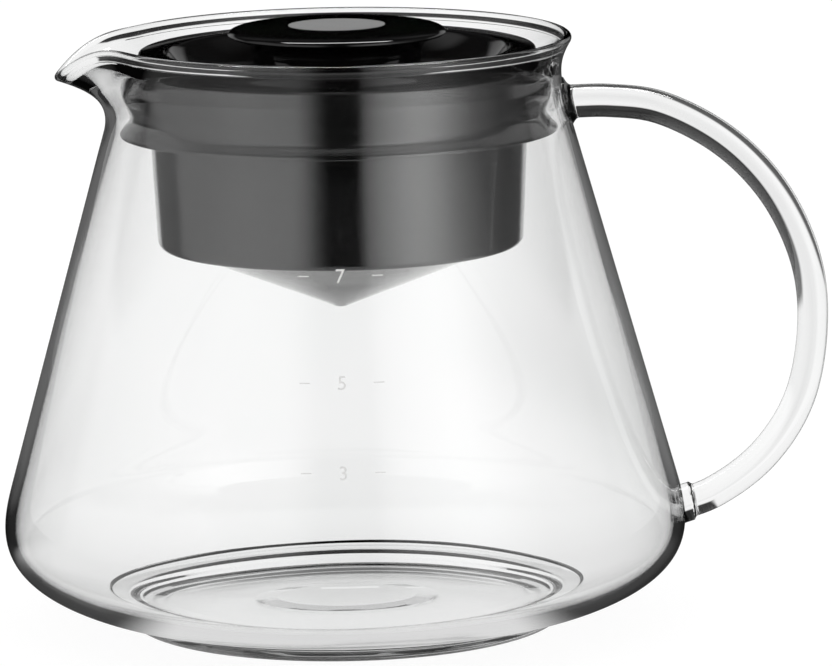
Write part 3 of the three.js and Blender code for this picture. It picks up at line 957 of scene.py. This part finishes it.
def knob_cap():
    ceiling = KNOB_TOP - KNOB_WALL
    skirt_inner = KNOB_SKIRT - KNOB_SKIRT_WALL
    boss = SOCKET_RADIUS + BOSS_WALL
    width, drop = KNOB_EDGE
    brim = KNOB_TOP - KNOB_CROWN - drop
    edge = [
        (KNOB_RADIUS - width + width * math.cos(t), brim + drop * math.sin(t))
        for t in np.linspace(0, math.pi / 2, KNOB_STEPS)
    ]
    flank = [
        (KNOB_SKIRT, knob_low.z),
        (KNOB_SKIRT, KNOB_TOP - KNOB_NECK_DROP),
        (KNOB_SKIRT + KNOB_FLARE, KNOB_TOP - KNOB_NECK_DROP),
        (KNOB_RADIUS - KNOB_LIP, brim - KNOB_LIP),
    ]
    outline = [
        (0, ceiling, SHARP),
        (SOCKET_RADIUS, ceiling, SHARP),
        (SOCKET_RADIUS, ceiling - BOSS_HEIGHT, FINE),
        (boss, ceiling - BOSS_HEIGHT, CRISP),
        (boss, ceiling, BLUNT),
        (skirt_inner, ceiling, EASY),
        (skirt_inner, knob_low.z, BLUNT),
        *as_corners(bezier(flank, np.linspace(0, 1, KNOB_STEPS))),
        *as_corners(edge),
        (KNOB_LAND, KNOB_TOP, SHARP),
        (KNOB_LAND - KNOB_LAND_BORDER, KNOB_TOP, SHARP),
        (0, KNOB_TOP, SHARP),
    ]
    return turned("knob", rounded(outline, False), False, angle=KNOB_ANGLE)


def valve_stem():
    foot = stem_low.z + PLATE_FILLET
    plate_top = foot + PLATE_THICKNESS
    outline = [
        (0, stem_low.z, SHARP),
        (STEM_RADIUS, stem_low.z, FINE),
        (STEM_RADIUS + PLATE_FILLET, foot, PLATE_ROUND),
        (stem_high.y, foot, CRISP),
        (stem_high.y, plate_top, CRISP),
        (STEM_RADIUS, plate_top, SMALL),
        (STEM_RADIUS, stem_high.z, CRISP),
        (0, stem_high.z, SHARP),
    ]
    return turned("stem", rounded(outline, False), False)


def valve_seal():
    bore = STEM_RADIUS + FIT_GAP
    outline = [
        (bore, seal_low.z, FINE),
        (seal_high.y, seal_low.z, BLUNT),
        (seal_high.y, seal_high.z, BLUNT),
        (bore, seal_high.z, FINE),
    ]
    return turned("seal", rounded(outline, True), True)


# Printed marks


def on_glass(across, height):
    """A place just off the front of the glass, at a distance round it and a height."""
    radius = radius_at(height)
    turn = -math.pi / 2 + across / radius
    lean = lean_at(height)
    out = radius + PRINT_LIFT * math.cos(lean)
    rise = PRINT_LIFT * math.sin(lean)
    return Vector((AXIS_X + out * math.cos(turn), out * math.sin(turn), height + rise))


def number_outline(text):
    """The flat mesh of a number, one MARK_HEIGHT tall and centred."""
    curve = bpy.data.curves.new("number", "FONT")
    curve.body = text
    curve.resolution_u = NUMBER_STEPS
    holder = bpy.data.objects.new("number", curve)
    bpy.context.scene.collection.objects.link(holder)
    graph = bpy.context.evaluated_depsgraph_get()
    mesh = bpy.data.meshes.new_from_object(holder.evaluated_get(graph))
    places = np.array([v.co[:2] for v in mesh.vertices])
    faces = [tuple(p.vertices) for p in mesh.polygons]
    low, high = places.min(0), places.max(0)
    bpy.data.objects.remove(holder)
    bpy.data.meshes.remove(mesh)
    return (places - (low + high) / 2) * (MARK_HEIGHT / (high[1] - low[1])), faces


def volume_mark(height, text):
    """A number with a dash on either side."""
    places, faces = number_outline(text)
    rise = math.cos(lean_at(height))
    verts = [on_glass(MARK_CENTRE + x, height + y * rise) for x, y in places]
    for side in (-1, 1):
        for k in range(DASH_STEPS + 1):
            across = MARK_CENTRE + side * (DASH_NEAR + DASH_LENGTH * k / DASH_STEPS)
            verts.append(on_glass(across, height - DASH_WIDTH / 2))
            verts.append(on_glass(across, height + DASH_WIDTH / 2))
            if k:
                end = len(verts)
                faces.append((end - 4, end - 2, end - 1, end - 3))
    return new_object(f"mark_{text}", verts, faces)


# Nodes


def feed(tree, target, inputs):
    """Links or sets inputs of a node."""
    for key, value in inputs.items():
        if isinstance(value, bpy.types.NodeSocket):
            tree.links.new(value, target.inputs[key])
        else:
            target.inputs[key].default_value = value


def node(tree, kind, inputs=(), **settings):
    made = tree.nodes.new(kind)
    for key, value in settings.items():
        setattr(made, key, value)
    feed(tree, made, dict(inputs))
    return made


def maths(tree, operation, *values):
    return node(tree, "ShaderNodeMath", dict(enumerate(values)), operation=operation).outputs[0]


def product(tree, first, *others):
    for other in others:
        first = maths(tree, "MULTIPLY", first, other)
    return first


def either(tree, share, first, second):
    """first where share is 1, second where it is 0 and a mix between."""
    rest = maths(tree, "SUBTRACT", 1.0, share)
    return maths(tree, "ADD", product(tree, first, share), product(tree, second, rest))


def within(tree, value, centre, reach):
    """1 where a value is no further than reach from the centre."""
    return maths(tree, "COMPARE", value, centre, reach)


def more_than(tree, count, whole):
    """1 where a count is above a whole number."""
    return maths(tree, "GREATER_THAN", count, whole + 0.5)


def ramp_between(tree, value, low, high):
    """0 below low and 1 above high, or the reverse where low is above high."""
    inputs = {"Value": value, "From Min": low, "From Max": high}
    return node(tree, "ShaderNodeMapRange", inputs, interpolation_type="SMOOTHSTEP").outputs["Result"]


def line_between(tree, value, start, end):
    """A value that goes straight over the range in start, brought to the range in end."""
    inputs = {"Value": value, "From Min": start[0], "From Max": start[1]}
    inputs |= {"To Min": end[0], "To Max": end[1]}
    return node(tree, "ShaderNodeMapRange", inputs).outputs["Result"]


def noise(tree, scale, detail):
    """Soft random values, fixed to the piece."""
    place = node(tree, "ShaderNodeTexCoord")
    inputs = {"Vector": place.outputs["Object"], "Scale": scale, "Detail": detail}
    return node(tree, "ShaderNodeTexNoise", inputs).outputs["Fac"]


def shade(tree, factor, tints):
    """A colour between two tints."""
    ramp = node(tree, "ShaderNodeValToRGB", {"Fac": factor})
    for stop, position, tint in zip(ramp.color_ramp.elements, NOISE_RANGE, tints):
        stop.position = position
        stop.color = (*tint, 1)
    return ramp.outputs["Color"]


def bump(tree, height, strength, distance):
    inputs = {"Height": height, "Strength": strength, "Distance": distance}
    return node(tree, "ShaderNodeBump", inputs).outputs["Normal"]


# Materials


def material(name):
    """A new material, its node tree and its shader."""
    made = bpy.data.materials.new(name)
    made.use_nodes = True
    return made, made.node_tree, made.node_tree.nodes["Principled BSDF"]


def glass_material():
    made, tree, shader = material("clear_glass")
    waves = noise(tree, scale=28, detail=1.5)
    inputs = {
        "Base Color": shade(tree, waves, GLASS_TINTS),
        "Normal": bump(tree, waves, strength=0.25, distance=0.0003),
        "Roughness": 0,
        "IOR": 1.47,
        "Transmission Weight": 1,
    }
    feed(tree, shader, inputs)
    return made


def black_plastic(name, tints, roughness, ior):
    made, tree, shader = material(name)
    grain = noise(tree, scale=900, detail=3)
    cloud = noise(tree, scale=45, detail=2)
    inputs = {
        "Base Color": shade(tree, cloud, tints),
        "Roughness": line_between(tree, cloud, NOISE_RANGE, roughness),
        "Normal": bump(tree, grain, strength=0.05, distance=0.00005),
        "IOR": ior,
    }
    feed(tree, shader, inputs)
    return made


def gloss_black():
    return black_plastic("gloss_black", LID_TINTS, roughness=(0.08, 0.11), ior=1.9)


def deck_black():
    return black_plastic("deck_black", LID_TINTS, roughness=(0.05, 0.08), ior=1.5)


def knob_black():
    return black_plastic("knob_black", KNOB_TINTS, roughness=(0.02, 0.03), ior=1.5)


def stem_black():
    return black_plastic("stem_black", STEM_TINTS, roughness=(0.28, 0.36), ior=1.52)


def silicone():
    return black_plastic("silicone", SILICONE_TINTS, roughness=(0.12, 0.17), ior=1.9)


def smoke_material():
    made, tree, shader = material("smoke_clear")
    cloud = noise(tree, scale=60, detail=2)
    inputs = {
        "Base Color": shade(tree, cloud, SMOKE_TINTS),
        "Roughness": line_between(tree, cloud, NOISE_RANGE, SMOKE_ROUGHNESS),
        "IOR": 1.5,
        "Transmission Weight": 1,
    }
    feed(tree, shader, inputs)
    return made


def steel_material():
    made, tree, shader = material("spring_steel")
    cloud = noise(tree, scale=400, detail=2)
    inputs = {
        "Base Color": shade(tree, cloud, STEEL_TINTS),
        "Roughness": line_between(tree, cloud, NOISE_RANGE, STEEL_ROUGHNESS),
        "Metallic": 1,
    }
    feed(tree, shader, inputs)
    return made


def print_material():
    made, tree, shader = material("print")
    specks = noise(tree, scale=2500, detail=3)
    inputs = {
        "Base Color": shade(tree, specks, PRINT_TINTS),
        "Roughness": line_between(tree, specks, NOISE_RANGE, PRINT_ROUGHNESS),
    }
    feed(tree, shader, inputs)
    return made


# Camera


def make_camera():
    data = bpy.data.cameras.new("camera")
    data.sensor_width = SENSOR
    data.lens = VIEW_LENS
    data.clip_start, data.clip_end = VIEW_CLIP
    camera = bpy.data.objects.new("camera", data)
    bpy.context.scene.collection.objects.link(camera)
    bpy.context.scene.camera = camera
    forward = Vector((0, math.cos(VIEW_PITCH), -math.sin(VIEW_PITCH)))
    up = Vector((0, math.sin(VIEW_PITCH), math.cos(VIEW_PITCH)))
    right = Vector((1, 0, 0))
    turned_up = up * math.cos(VIEW_ROLL) + right * math.sin(VIEW_ROLL)
    turned_right = right * math.cos(VIEW_ROLL) - up * math.sin(VIEW_ROLL)
    place = Vector((CAMERA_X, 0, VIEW_HEIGHT)) - forward * VIEW_DISTANCE
    axes = Matrix((turned_right, turned_up, -forward)).transposed()
    camera.matrix_world = Matrix.Translation(place) @ axes.to_4x4()


# World


def ray_kinds(tree):
    """Shares for camera, dull and mirrored rays, and the count of glass faces that a ray has passed."""
    path = node(tree, "ShaderNodeLightPath").outputs
    dull = more_than(tree, path["Diffuse Depth"], 0)
    mirrored = more_than(tree, path["Glossy Depth"], 0)
    return path["Is Camera Ray"], dull, mirrored, path["Transmission Depth"]


def studio_round(tree, x, y):
    """Strength of the studio by the way round the carafe."""
    turn = maths(tree, "ARCTAN2", x, product(tree, y, -1.0))
    share = maths(tree, "ADD", maths(tree, "DIVIDE", turn, 2 * math.pi), 0.5)
    ramp = node(tree, "ShaderNodeValToRGB", {"Fac": share})
    stops = ramp.color_ramp.elements
    while len(stops) > 1:
        stops.remove(stops[-1])
    for k, (angle, strength) in enumerate(STUDIO):
        place = angle / 360 + 0.5
        stop = stops[0] if k == 0 else stops.new(place)
        stop.position = place
        value = strength / STUDIO_STRENGTH
        stop.color = (value, value, value, 1)
    return product(tree, ramp.outputs["Color"], STUDIO_STRENGTH)


def studio_light(tree, x, y, z, depth, outside):
    """The studio, which reaches higher for rays that passed glass, and a glow at the back for deep rays."""
    outer = ramp_between(tree, z, *STUDIO_HEIGHT[::-1])
    inner = ramp_between(tree, z, *STUDIO_INNER_HEIGHT[::-1])
    front = ramp_between(tree, y, *STUDIO_BACK[::-1])
    around = product(tree, studio_round(tree, x, y), front, either(tree, outside, outer, inner))
    back = ramp_between(tree, y, *GLOW_BACK)
    glow = product(tree, more_than(tree, depth, GLOW_WALLS), back, GLOW_STRENGTH)
    return maths(tree, "MAXIMUM", around, glow)


def horizon_light(tree, x, y, z, outside):
    behind = ramp_between(tree, y, *HORIZON_BACK)
    aside = ramp_between(tree, maths(tree, "ABSOLUTE", x), *HORIZON_ASIDE)
    low = ramp_between(tree, z, *HORIZON_HEIGHT[::-1])
    return product(tree, behind, aside, low, outside, HORIZON_STRENGTH)


def strip_light(tree, x, y, z, outside):
    forward = within(tree, maths(tree, "DIVIDE", y, z), STRIP_LEAN, STRIP_WIDTH)
    sideways = within(tree, maths(tree, "DIVIDE", x, z), 0.0, STRIP_LENGTH)
    high = maths(tree, "GREATER_THAN", z, STRIP_LOWEST)
    return product(tree, forward, sideways, high, outside, STRIP_STRENGTH)


def patch_light(tree, x, y, z):
    across = within(tree, maths(tree, "DIVIDE", x, y), PATCH_SIDE, PATCH_WIDTH)
    tall = within(tree, maths(tree, "DIVIDE", z, y), PATCH_RISE, PATCH_HEIGHT)
    behind = maths(tree, "GREATER_THAN", y, 0.0)
    return product(tree, across, tall, behind, PATCH_STRENGTH)


def backdrop(tree, x, z):
    """Light along refracted rays, from the sideways and upward parts of their direction."""
    side = product(tree, ramp_between(tree, x, *BACKDROP_TURN), BACKDROP_SIDE)
    level = maths(tree, "SUBTRACT", BACKDROP, side)
    left = product(tree, maths(tree, "ADD", x, TABLE_LEFT), TABLE_LEFT_LEAN)
    lean = maths(tree, "MINIMUM", product(tree, x, TABLE_LEAN), left)
    lift = maths(tree, "ADD", z, maths(tree, "MINIMUM", lean, TABLE_CAP))
    return either(tree, ramp_between(tree, lift, *TABLE_EDGE), ABOVE, level)


def make_world():
    """White for camera and dull rays, the studio for mirrored rays and the backdrop for refracted rays."""
    world = bpy.data.worlds.new("studio")
    bpy.context.scene.world = world
    world.use_nodes = True
    world.cycles.sampling_method = "NONE"
    tree = world.node_tree
    place = node(tree, "ShaderNodeTexCoord")
    x, y, z = node(tree, "ShaderNodeSeparateXYZ", {0: place.outputs["Generated"]}).outputs
    camera, dull, mirrored, depth = ray_kinds(tree)
    outside = maths(tree, "SUBTRACT", 1.0, more_than(tree, depth, 0))
    around = studio_light(tree, x, y, z, depth, outside)
    around = maths(tree, "MAXIMUM", around, horizon_light(tree, x, y, z, outside))
    lamps = maths(tree, "ADD", strip_light(tree, x, y, z, outside), patch_light(tree, x, y, z))
    studio = maths(tree, "ADD", around, lamps)
    plain = maths(tree, "MAXIMUM", camera, dull)
    strength = either(tree, plain, 1.0, either(tree, mirrored, studio, backdrop(tree, x, z)))
    feed(tree, tree.nodes["Background"], {"Color": (1, 1, 1, 1), "Strength": strength})


# Floor


def floor_disc():
    verts = [(0, 0, 0)]
    for i in range(FLOOR_SIDES):
        turn = 2 * math.pi * i / FLOOR_SIDES
        verts.append((FLOOR_RADIUS * math.cos(turn), FLOOR_RADIUS * math.sin(turn), 0))
    faces = [(0, 1 + i, 1 + (i + 1) % FLOOR_SIDES) for i in range(FLOOR_SIDES)]
    floor = new_object("floor", verts, faces)
    floor.location.z = -FLOOR_DROP
    return floor


def floor_mirrored(tree, x, y, away, depth, refracted):
    """What mirrored rays see of the floor: painted light under the carafe, painted shade at its back and
    sides, and further out the studio's light and a glow at the back for deep rays, all painted on by place.
    """
    deep = more_than(tree, depth, BACK_WALLS)
    back = product(tree, deep, ramp_between(tree, maths(tree, "DIVIDE", y, away), *BACK_INSIDE))
    studio = product(tree, studio_round(tree, x, y), either(tree, refracted, 1.0, TABLE_SHARE))
    around = maths(tree, "MAXIMUM", studio, back)
    aside = ramp_between(tree, maths(tree, "ABSOLUTE", x), *UNDER_SIDE)
    shaded = maths(tree, "MAXIMUM", ramp_between(tree, y, *UNDER_TURN), aside)
    shallow = maths(tree, "SUBTRACT", 1.0, deep)
    # painted shade at the carafe's back and sides, painted light under it
    painted_light_and_shade_under = either(tree, product(tree, shallow, shaded), PAINTED_SHADE_UNDER, PAINTED_LIGHT_UNDER)
    return either(tree, ramp_between(tree, away, *UNDER_REACH[::-1]), painted_light_and_shade_under, around)


def floor_refracted(tree, x, y, away, depth):
    """What refracted rays see of the floor: the backdrop's light painted on it by place, and a dark patch
    painted close behind the carafe.
    """
    side = product(tree, maths(tree, "DIVIDE", x, away), ramp_between(tree, away, *TABLE_FAR))
    fall = maths(tree, "DIVIDE", -TABLE_VIEW, away)
    reach = line_between(tree, x, DARK_PATCH_SIDE, DARK_PATCH_REACH)
    near = ramp_between(tree, maths(tree, "DIVIDE", away, reach), *DARK_PATCH_BLUR[::-1])
    once = within(tree, depth, DARK_PATCH_WALLS, 0.5)
    # a dark patch painted on the floor close behind the carafe
    edge = product(tree, once, ramp_between(tree, y, *DARK_PATCH_START), near)
    return either(tree, edge, ABOVE, backdrop(tree, side, fall))


def floor_material():
    """A lit matte floor, which takes the carafe's shadow, and the studio where a ray is mirrored; for
    mirrored and refracted rays its light and shade are painted on by place.
    """
    made, tree, shader = material("floor")
    tree.nodes.remove(shader)
    place = node(tree, "ShaderNodeNewGeometry")
    parts = node(tree, "ShaderNodeSeparateXYZ", {0: place.outputs["Position"]}).outputs
    x = maths(tree, "SUBTRACT", parts["X"], AXIS_X)
    y = parts["Y"]
    away = maths(tree, "SQRT", maths(tree, "ADD", product(tree, x, x), product(tree, y, y)))
    _, dull, mirrored, depth = ray_kinds(tree)
    refracted = more_than(tree, depth, 0)
    level = either(tree, refracted, floor_refracted(tree, x, y, away, depth), 1.0)
    lit = node(tree, "ShaderNodeEmission", {"Strength": product(tree, level, FLOOR_LIGHT)})
    matte = node(tree, "ShaderNodeBsdfDiffuse", {"Color": FLOOR_GREY})
    plain = node(tree, "ShaderNodeAddShader", {0: lit.outputs[0], 1: matte.outputs[0]})
    studio = floor_mirrored(tree, x, y, away, depth, refracted)
    seen = node(tree, "ShaderNodeEmission", {"Strength": studio})
    plain_share = maths(tree, "MAXIMUM", dull, maths(tree, "SUBTRACT", 1.0, mirrored))
    inputs = {"Fac": plain_share, 1: seen.outputs[0], 2: plain.outputs[0]}
    mixed = node(tree, "ShaderNodeMixShader", inputs)
    feed(tree, tree.nodes["Material Output"], {"Surface": mixed.outputs[0]})
    return made


def make_floor():
    floor = floor_disc()
    floor.data.materials.append(floor_material())


# Pieces on their bodies


def dress(piece, body, look, slot, *nodes):
    """Gives a piece its look, its body and the nodes that it stands in for. The slot is not used."""
    piece.data.materials.clear()
    piece.data.materials.append(look)
    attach(piece, body)
    if nodes:
        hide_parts(*nodes)
    return piece


def dress_collar(cup, look):
    """Gives the faces above the sleeve the look of the deck."""
    cup.data.materials.append(look)
    for face in cup.data.polygons:
        face.material_index = int(face.center.z > SLEEVE_TOP)


def dress_lid(deck_look, rubber):
    cup = dress(lid_cup(), "lid", gloss_black(), "gloss_black", "lid_cup")
    dress_collar(cup, deck_look)
    dress(lid_deck(), "lid", deck_look, "deck_black", "lid_deck")
    dress(neck_sleeve(), "lid", rubber, "silicone", "neck_gasket")
    dress(drip_cone(), "lid", smoke_material(), "smoke_clear", "drip_cone")


def dress_valve(rubber):
    dress(knob_cap(), "valve", knob_black(), "knob_black", "knob_cap")
    dress(valve_stem(), "valve", stem_black(), "stem_black", "valve_stem")
    dress(valve_seal(), "valve", rubber, "silicone", "valve_seal")
    spring = dress(press_spring(), "lid", steel_material(), "spring_steel", "press_spring")
    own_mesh(spring)


def dress_marks():
    look = print_material()
    for height, text in MARKS:
        dress(volume_mark(height, text), "carafe", look, "clear_glass")


def set_up_render(scene):
    scene.cycles.max_bounces = BOUNCES
    scene.cycles.transmission_bounces = BOUNCES
    scene.cycles.glossy_bounces = GLOSSY_BOUNCES
    scene.view_settings.view_transform = "Standard"


make_camera()
make_world()
make_floor()
rubber_look = silicone()
dress(vessel_with_handle(), "carafe", glass_material(), "clear_glass", "glass_body", "glass_handle")
dress_lid(deck_black(), rubber_look)
dress_valve(rubber_look)
dress_marks()
set_up_render(bpy.context.scene)
